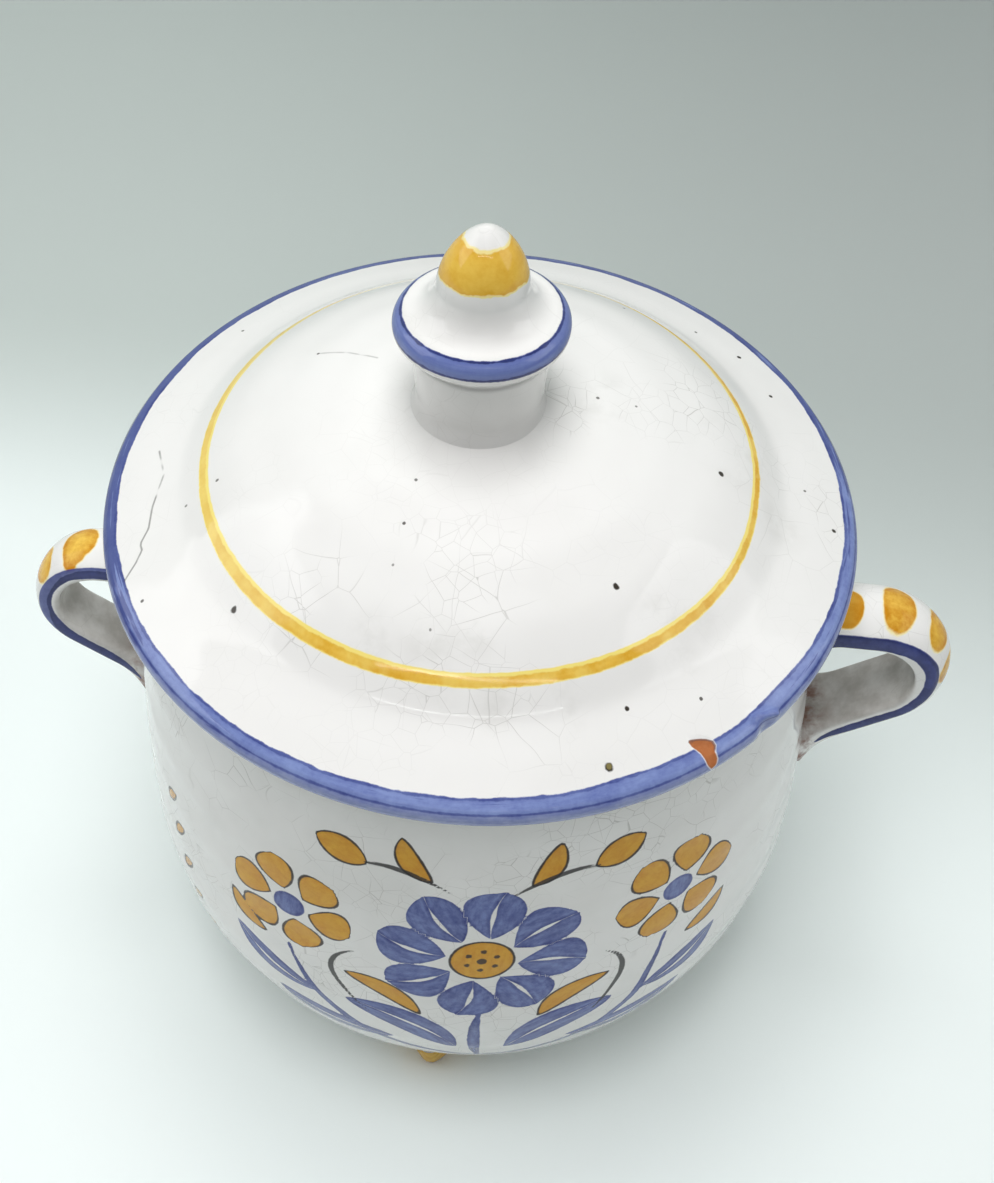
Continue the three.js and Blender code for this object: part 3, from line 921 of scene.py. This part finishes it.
def knobMaterial():
    finish = Finish("knobGlaze", 0.12)
    finish.glaze(0.15, 1.2)
    tree = finish.tree
    centred = node(tree, "ShaderNodeMapping", {"Vector": finish.vector,
                   "Location": (-knob["centre"][0] * mm, 0, 0)}).outputs[0]
    rise, band, girth = separate(finish.attribute("knobPlace"))
    planX, planY, _ = separate(Value(tree, centred) * 70)
    streak = combine(planX, planY, girth * 1.1)
    finish.paint(band, "wornBlue", "midBlue", 0.3, 0.6, streak)
    finish.paint(abs(band + 0.4) - 0.32, "deepBlue", "navy", 0.6, 0.2, streak, 0.9)
    # painted shade in the groove under the edge
    finish.over(fade(abs(rise - knob["grooveRise"]), 0.2, 0.8, 0.35, 0.0), "paintedShade")
    torn = noise(finish.vector, 150, 3, 0.6) - 0.5
    tip = larger(torn * 3 - (rise - knob["ochreFrom"]), rise - knob["capFrom"] - torn * 1.6)
    blots = finish.vector * (190, 190, 320)
    finish.paint(tip, "lemon", "lemon", 0.35, 0.0, blots, 0.8)
    finish.paint(tip, "paleYellow", "ochre", 0.5, 0.25, blots, inset=0.5)
    return finish.done()


def makeKnob():
    outline = knobOutline()
    angles = np.linspace(-np.pi, np.pi, knob["columns"], endpoint=False)
    turn, radius, rise = turnedGrid(outline, angles)
    radius = radius * (1 + 0.006 * np.sin(2 * turn + 0.5) + 0.004 * np.sin(3 * turn))
    grid = placed(turn, radius, rise)
    # the upper part leans, and its edge stands higher at the front than at the back
    tilted = grid[..., 0] * knob["tilt"][0] + grid[..., 1] * knob["tilt"][1]
    grid[..., 2] += tilted * smoothStep(knob["tiltFrom"], knob["tiltTo"], rise)
    lean = knob["lean"] * np.clip((rise - knob["tipStart"]) / knob["tipRise"], 0, 1)
    grid[..., 0] += lean
    shift = np.array([*knob["centre"], knob["seat"]])
    start = shift + (0, 0, outline[0, 1])
    end = shift + (knob["lean"], 0, outline[-1, 1])
    piece = gridSkin("knob_shell", grid + shift, start, end, knobMaterial())
    middle = (knob["edgeRadius"] - knob["edgeRound"], knob["edgeRise"])
    around = np.degrees(np.arctan2(outline[1:-1, 1] - middle[1], outline[1:-1, 0] - middle[0]))
    low, high = knob["bandArc"]
    band = (np.abs(around - (low + high) / 2) - (high - low) / 2) * np.radians(1) * knob["edgeRound"]
    band = np.where(outline[1:-1, 0] < middle[0] - 0.2, 6, np.clip(band, -6, 6))
    band = np.repeat(band[:, None], len(angles), 1)
    girth = np.repeat(runningLength(outline)[1:-1, None], len(angles), 1)
    setAttribute(piece, "knobPlace", np.stack([rise, band, girth], -1))
    settle(piece, "lid", "knob_glaze", "lid_knob")


# Strap handles

strap = {
    "bend": 15.4, "slope": 37.0, "thickness": 5.4, "soft": 0.75,
    "flare": 3.2, "flareReach": 9.0, "step": 0.8, "sectionStep": 0.45, "dabPower": 2.4, "inkTo": 0.95,
}
# dabs: mm along to the middle, half length towards the root, half length towards the bend,
# mm across to the middle, half width; stripe: mm along, mm from the crown's corner, half width;
# ink: mm along, and where the darkest part of the stripe starts, in half widths from its middle;
# and the last key: mm by which the painted shade of the inner face comes round its corner
rightHandle = {
    "name": "right_handle", "node": "handle_right", "turn": 90.0,
    "width": 19.0, "crown": 4.4, "topDrop": 25.5, "standOff": 27.8,
    "stripeEnd": 82.0, "shadeLead": 0.4, "ink": ((20, -0.9), (50, -0.9)),
    "dabs": ((10.5, 4.7, 4.7, -2.6, 5.6), (22.4, 2.9, 3.9, -0.3, 7.8), (32.6, 3.1, 3.2, -0.8, 6.4),
             (41.2, 3.2, 3.6, -2.5, 6.0), (52.0, 3.5, 3.5, -1.0, 6.0), (62.0, 3.5, 3.5, -0.5, 6.0)),
    "stripe": ((19, 2.5, 2.7), (26, 1.8, 2.4), (31, 0.9, 2.1), (37, 0.3, 2.2), (50, 1.7, 1.65)),
}
leftHandle = {
    "name": "left_handle", "node": "handle_left", "turn": -90.0,
    "width": 15.0, "crown": 2.2, "topDrop": 29.5, "standOff": 24.5,
    "stripeEnd": 75.5, "shadeLead": 1.7, "ink": ((20, -0.5), (30, 0.35), (41, 0.3), (50, -0.7)),
    "dabs": ((20.0, 3.8, 4.2, -1.0, 5.6), (20.9, 2.9, 3.0, 2.4, 4.2), (21.6, 1.9, 2.1, 4.4, 3.6),
             (30.2, 3.2, 3.6, 1.6, 5.6),
             (41.0, 3.2, 3.2, 0.5, 5.2), (51.0, 3.2, 3.2, 0.0, 5.0), (61.0, 3.0, 3.0, 0.0, 4.8)),
    "stripe": ((20, 1.7, 2.2), (24, 1.3, 1.9), (37, 1.3, 1.9), (46, 1.6, 2.3), (56, 1.4, 2.2)),
}


# Middle line of a handle on the plane of radius and height: out, round the bend, back down the slope.
def handleLine(handle):
    reach = pot["bellyRadius"] + handle["standOff"]
    top = pot["rimHeight"] - handle["topDrop"]
    middle = (reach - strap["bend"], top - strap["bend"])
    bend = ellipseArc(middle, (strap["bend"], strap["bend"]), 90, strap["slope"] - 90)
    start = [bodyRadius(top) - 2.5, top]
    inwards = bend[-1, 0] - pot["bellyRadius"] + 3.2
    end = [bend[-1, 0] - inwards, bend[-1, 1] - inwards * np.tan(np.radians(strap["slope"]))]
    return evenly(np.concatenate([[start], bend, [end]]), strap["step"])


# Section of the strap: (across, out), flat inside, crowned outside, its corners softened
# by a blur along the outline. It starts in the middle of the crown.
def strapSection(handle):
    half, flat = handle["width"] / 2, strap["thickness"] / 2
    across = np.linspace(half, -half, 40)
    crown = np.stack([across, flat + handle["crown"] * (1 - (across / half) ** 2)], -1)
    corners = np.concatenate([crown, [[-half, -flat], [half, -flat]], crown[:1]])
    ring = evenly(corners, strap["sectionStep"])[:-1]
    place = np.arange(len(ring)) * strap["sectionStep"]
    place = np.minimum(place, place[-1] - place)
    weight = np.exp(-0.5 * (place / strap["soft"]) ** 2)
    blur = np.fft.fft(weight / weight.sum())
    soft = np.stack([np.fft.ifft(np.fft.fft(ring[:, axis]) * blur).real for axis in (0, 1)], -1)
    return np.roll(soft, -np.argmax(soft[:, 1]), 0)


def handleMaterial():
    finish = Finish("bandedGlaze", 0.12, 1.32)
    finish.glaze(0.35, 0.8)
    along, across, away = separate(finish.attribute("strapPlace"))
    streak = combine(along * 0.08, across * 0.8)
    # painted shade on the inner face of the strap, mottled
    shadeMottle = fade(noise(finish.vector, 90, 4, 0.65), 0.3, 0.7, 0.5, 1.0)
    finish.over(finish.attribute("innerFaceShade", "Fac") * shadeMottle, "paintedShade")
    root = fade(away, 1.5, 9.0, 1.0, 0.0) * fade(noise(finish.vector, 110, 4, 0.7), 0.36, 0.62)
    finish.over(root * fade(along, 55, 65, 0.2, 0.95), "clayStain")
    dab = finish.attribute("dab", "Fac")
    blots = finish.vector * 210
    finish.paint(dab, "lemon", "lemon", 0.3, 0.0, blots, 0.7)
    finish.paint(dab, "paleYellow", "deepOchre", 0.35, 0.35, blots, inset=0.22)
    # the dab next to the pot has taken more colour
    finish.over(fade(dab, -0.5, -0.1, 1.0, 0.0) * fade(along, 13, 19, 0.6, 0.0), "deepOchre")
    stripe, ink, _ = separate(finish.attribute("stripe"))
    finish.paint(stripe, "midBlue", "deepBlue", 0.25, 0.3, streak, 0.95)
    finish.paint(ink, "deepBlue", "navy", 0.4, 0.3, streak, 0.9)
    return finish.done()


def makeHandle(handle, material):
    line = handleLine(handle)
    section = strapSection(handle)
    ahead = np.gradient(line, axis=0)
    ahead /= np.hypot(ahead[:, 0], ahead[:, 1])[:, None]
    outward = np.stack([-ahead[:, 1], ahead[:, 0]], -1)
    turnOut = np.gradient(np.concatenate([section[-1:], section, section[:1]]), axis=0)[1:-1]
    turnOut = np.stack([turnOut[:, 1], -turnOut[:, 0]], -1)
    turnOut /= np.hypot(turnOut[:, 0], turnOut[:, 1])[:, None]

    def carried(shape):
        flat = line[:, None] + shape[..., 1:2] * outward[:, None]
        return np.stack([flat[..., 0], shape[..., 0], flat[..., 1]], -1)

    shape = np.repeat(section[None], len(line), 0)
    points = carried(shape)
    away = np.hypot(points[..., 0], points[..., 1]) - bodyRadius(points[..., 2])
    grow = strap["flare"] * np.clip(1 - away / strap["flareReach"], 0, 1.15) ** 2
    points = carried(shape + grow[..., None] * turnOut[None])
    turn = np.radians(handle["turn"]) - np.pi / 2
    x = points[..., 0] * np.cos(turn) - points[..., 1] * np.sin(turn)
    y = points[..., 0] * np.sin(turn) + points[..., 1] * np.cos(turn)
    grid = np.stack([x, y, points[..., 2]], -1)
    piece = gridSkin(handle["name"], grid, grid[0].mean(0), grid[-1].mean(0), material)

    along = np.repeat(runningLength(line)[:, None], len(section), 1)
    across = np.repeat(section[None, :, 0], len(line), 0)
    girth = np.arange(len(section)) * strap["sectionStep"]
    girth = np.minimum(girth, len(section) * strap["sectionStep"] - girth)
    # the crown's corner, and the inner one, are where the section's side turns past 60 degrees
    half = len(section) // 2
    crownEnd = girth[np.argmax(turnOut[:half, 1] < 0.5)]
    innerStart = girth[np.argmax(turnOut[:half, 1] < -0.5)]
    girth = np.repeat(girth[None], len(line), 0)

    marks, offsets, halves = np.array(handle["stripe"]).T
    aside = girth - crownEnd - np.interp(along, marks, offsets)
    wide = np.interp(along, marks, halves)
    wide = wide * np.sqrt(np.clip((handle["stripeEnd"] - along) / 12, 0.01, 1))
    stripe = np.maximum(np.abs(aside) - wide, along - handle["stripeEnd"])
    inkFrom = np.interp(along, *np.array(handle["ink"]).T)
    ink = np.maximum(inkFrom * wide - aside, aside - strap["inkTo"] * wide)
    setAttribute(piece, "stripe", np.clip(np.stack([stripe, np.maximum(ink, stripe), 0 * ink], -1), -5, 5))
    # where the painted shade of the inner face starts
    shadeFrom = innerStart - handle["shadeLead"] - 1.5 * smoothStep(38, 54, along)
    setAttribute(piece, "innerFaceShade", smoothStep(shadeFrom, shadeFrom + 1.6, girth)[..., None])
    dab = np.full(along.shape, 9.0)
    power = strap["dabPower"]
    for middle, halfBack, halfOn, shift, wide in handle["dabs"]:
        long = np.where(along < middle, halfBack, halfOn)
        oval = np.abs((along - middle) / long) ** power + np.abs((across - shift) / wide) ** power
        oval = oval ** (1 / power)
        dab = np.minimum(dab, (oval - 1) * np.minimum(long, wide))
    dab = np.where(girth < crownEnd + 1, np.clip(dab, -6, 6), 6)
    setAttribute(piece, "dab", dab[..., None])
    setAttribute(piece, "strapPlace", np.stack([along, across, away], -1))
    settle(piece, "pot", "banded_glaze", handle["node"])


# Feet

foot = {
    "ring": 61.5, "radius": 9.5, "baseRadius": 7.0, "bulgeHeight": 4.5, "frontTurn": -4.0,
    "step": 0.6, "columns": 90, "flare": 3.0, "narrowing": 0.45, "paintedTo": 9.5,
    "nodes": ("foot_front", "foot_rear_right", "foot_rear_left"),
}


# A flat base, a round bulge, and a stem that flares into the underside of the pot.
def footOutline():
    bulge = ellipseArc((foot["baseRadius"], foot["bulgeHeight"]), (
        foot["radius"] - foot["baseRadius"], foot["bulgeHeight"]), -90, 20)
    neck = np.array([[foot["radius"] - 0.5, 8.0], [foot["radius"] + 0.2, 10.5],
                     [foot["radius"] + foot["flare"], 15.0], [0, 17.0]])
    return evenly(np.concatenate([[[0, 0]], bulge, neck]), foot["step"])


def footMaterial():
    finish = Finish("ochreGlaze", 0.15)
    finish.glaze(0.2, 0.8)
    drift = (noise(finish.vector, 90, 2) - 0.5) * 3
    finish.paint(finish.height - (drift + foot["paintedTo"]), "paleYellow", "deepOchre", 0.4, 0.15)
    wiped = fade(finish.height + drift * 0.2, 0.25, 0.7, 1.0, 0.0)
    finish.over(wiped, mix(noise(finish.vector, 500, 3), pigment["clay"], pigment["clayStain"]))
    return finish.done()


# Egg-shaped on the plan: narrower across towards the outside of the pot.
def makeFeet():
    material = footMaterial()
    outline = footOutline()
    angles = np.linspace(-np.pi, np.pi, foot["columns"], endpoint=False)
    for count, name in enumerate(foot["nodes"]):
        place = np.radians(foot["frontTurn"] + 360 / len(foot["nodes"]) * count)
        centre = (foot["ring"] * np.sin(place), -foot["ring"] * np.cos(place))
        turn, radius, height = turnedGrid(outline, angles)
        radius = radius * (1 + 0.02 * np.sin(2 * turn + count) + 0.012 * np.sin(3 * turn + 2 * count))
        narrow = 1 - foot["narrowing"] * smoothStep(-0.3, 1, np.cos(turn))
        out, across = radius * np.cos(turn), radius * np.sin(turn) * narrow
        grid = np.stack([centre[0] + out * np.sin(place) + across * np.cos(place),
                         centre[1] - out * np.cos(place) + across * np.sin(place), height], -1)
        base, top = (onAxis(outline, row, centre) for row in (0, -1))
        piece = gridSkin(name + "_toe", grid, base, top, material)
        settle(piece, "pot", "ochre_glaze", name)


# Studio

studio = {
    "bendFrom": 0.16, "bendRadius": 0.16, "wallTop": 1.1, "front": -1.4, "halfWidth": 1.5,
    "floorColour": colour(0.92, 0.98, 0.97), "shadedWallLeft": colour(0.57, 0.63, 0.605),
    "shadedWallRight": colour(0.475, 0.52, 0.505),
    # where the paper turns from the floor's colour to the wall's painted shade, on the left and on the right:
    # metres across, from and to metres back
    "shadeLeft": (-0.2, 0.11, 0.23), "shadeRight": (0.18, -0.03, 0.23),
    # name, place, size, watts, target, mirrored by the glaze
    "lamps": (
        ("topWide", (-0.06, 0.0, 1.65), (2.2, 0.8), 15.3, (0.0, 0.0, 0.1), False),
        ("topMiddle", (-0.06, 0.0, 1.60), (1.5, 0.5), 10.7, (0.0, 0.0, 0.1), False),
        ("left", (-0.95, 0.05, 0.70), (0.9, 0.7), 3.2, (0.0, 0.0, 0.1), True),
        ("right", (0.95, 0.05, 0.70), (0.9, 0.7), 2.5, (0.0, 0.0, 0.1), True),
        ("strip", (0.0, -0.60, 0.80), (0.8, 0.012), 0.3, (0.0, 0.0, 0.15), True),
    ),
    "worldLight": 0.05, "worldSeen": 0.62,
}


# Pale floor that turns into a wall painted darker as shade, more so on the right; the sheet can be seen
# through from behind and from below.
def paperMaterial():
    material = bpy.data.materials.new("paperSweep")
    material.use_nodes = True
    tree = material.node_tree
    shader = tree.nodes["Principled BSDF"]
    shader.inputs["Roughness"].default_value = 0.7
    planX, planY, _ = separate(Value(tree, node(tree, "ShaderNodeTexCoord").outputs["Object"]))
    (leftAt, leftFrom, leftTo), (rightAt, rightFrom, rightTo) = studio["shadeLeft"], studio["shadeRight"]
    low = fade(planX, leftAt, rightAt, leftFrom, rightFrom)
    high = fade(planX, leftAt, rightAt, leftTo, rightTo)
    # the wall is the floor's paper painted darker as shade
    wall = mix(fade(planX, leftAt, rightAt), studio["shadedWallLeft"], studio["shadedWallRight"])
    tint = mix(fade(planY, low, high), studio["floorColour"], wall)
    tree.links.new(tint.socket, shader.inputs["Base Color"])
    back = node(tree, "ShaderNodeNewGeometry").outputs["Backfacing"]
    sheet = node(tree, "ShaderNodeMixShader", {0: back, 1: shader.outputs[0],
                 2: node(tree, "ShaderNodeBsdfTransparent").outputs[0]})
    tree.links.new(sheet.outputs[0], tree.nodes["Material Output"].inputs["Surface"])
    return material


# Floor and wall in one sheet: flat, a quarter circle, upright.
def makeBackdrop():
    flat = np.linspace(studio["front"], studio["bendFrom"], 12)
    bend = ellipseArc((studio["bendFrom"], studio["bendRadius"]), (studio["bendRadius"],) * 2, -90, 0, 30)
    rise = np.linspace(studio["bendRadius"], studio["wallTop"], 8)[1:]
    wallAt = np.full_like(rise, studio["bendFrom"] + studio["bendRadius"])
    profile = np.concatenate([np.stack([flat, 0 * flat], -1), bend[1:], np.stack([wallAt, rise], -1)])
    across = np.linspace(-studio["halfWidth"], studio["halfWidth"], 20)
    x, y = np.meshgrid(across, profile[:, 0])
    z = np.repeat(profile[:, 1:2], len(across), 1)
    index = np.arange(x.size).reshape(x.shape)
    quads = np.stack([index[:-1, :-1], index[:-1, 1:], index[1:, 1:], index[1:, :-1]], -1).reshape(-1, 4)
    mesh = bpy.data.meshes.new("backdrop")
    mesh.from_pydata(np.stack([x, y, z], -1).reshape(-1, 3), [], quads.tolist())
    mesh.polygons.foreach_set("use_smooth", np.ones(len(mesh.polygons), bool))
    mesh.materials.append(paperMaterial())
    backdrop = bpy.data.objects.new("backdrop", mesh)
    bpy.context.scene.collection.objects.link(backdrop)


def makeLamps():
    for name, place, size, power, target, mirrored in studio["lamps"]:
        lamp = bpy.data.lights.new(name, "AREA")
        lamp.shape = "RECTANGLE"
        lamp.size, lamp.size_y = size
        lamp.energy = power
        holder = bpy.data.objects.new(name, lamp)
        holder.location = place
        holder.visible_glossy = mirrored
        holder.rotation_euler = (Vector(target) - Vector(place)).to_track_quat("-Z", "Y").to_euler()
        bpy.context.scene.collection.objects.link(holder)


# Faint light from all round, and a pale ground where the camera looks past the paper.
def makeWorld():
    world = bpy.data.worlds.new("world")
    world.use_nodes = True
    sky = world.node_tree
    backing = sky.nodes["Background"].inputs
    backing["Color"].default_value = studio["floorColour"]
    seen = Value(sky, node(sky, "ShaderNodeLightPath").outputs["Is Camera Ray"])
    strength = fade(seen, 0, 1, studio["worldLight"], studio["worldSeen"])
    sky.links.new(strength.socket, backing["Strength"])
    bpy.context.scene.world = world
    bpy.context.scene.view_settings.view_transform = "Standard"


makeCamera()
makeBackdrop()
makeLamps()
makeWorld()
print("studio ready:", len(studio["lamps"]), "lamps")
makePot()
makeLid()
makeKnob()
bandedGlaze = handleMaterial()
makeHandle(rightHandle, bandedGlaze)
makeHandle(leftHandle, bandedGlaze)
makeFeet()
